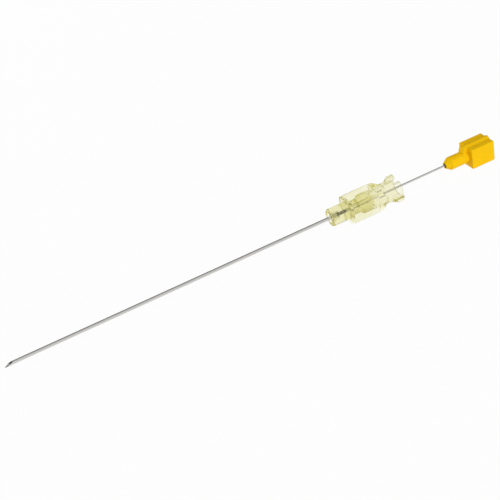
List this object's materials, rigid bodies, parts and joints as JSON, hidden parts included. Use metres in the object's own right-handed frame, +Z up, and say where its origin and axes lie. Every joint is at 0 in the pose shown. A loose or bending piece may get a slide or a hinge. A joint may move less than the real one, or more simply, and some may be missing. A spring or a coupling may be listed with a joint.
{
  "type": "spinal needle",
  "caption": "Long thin steel needle with a ground point in a clear yellow square hub, its wire stylet with a yellow square cap drawn partly out.",
  "frame": {"origin": "centre of the hub's open rear end, the mouth of its luer socket", "axes": "+X along the needle from its point to the stylet's cap, +Z up through the cap's key ridge"},
  "size_m": [0.14, 0.006, 0.0064],
  "materials": {
    "steel": "drawn and polished",
    "hub_plastic": "translucent, moulded",
    "glue": "clear, set",
    "cap_plastic": "opaque, moulded"
  },
  "bodies": {
    "needle": {"hub": "hub_plastic", "cannula": "steel", "adhesive": "glue"},
    "stylet": {"stylet_wire": "steel", "stylet_cap": "cap_plastic"}
  },
  "joints": [
    {"name": "stylet_slide", "type": "slide", "parent": "needle", "child": "stylet", "axis": [1, 0, 0], "range_m": [-0.02185, 0.09]}
  ]
}
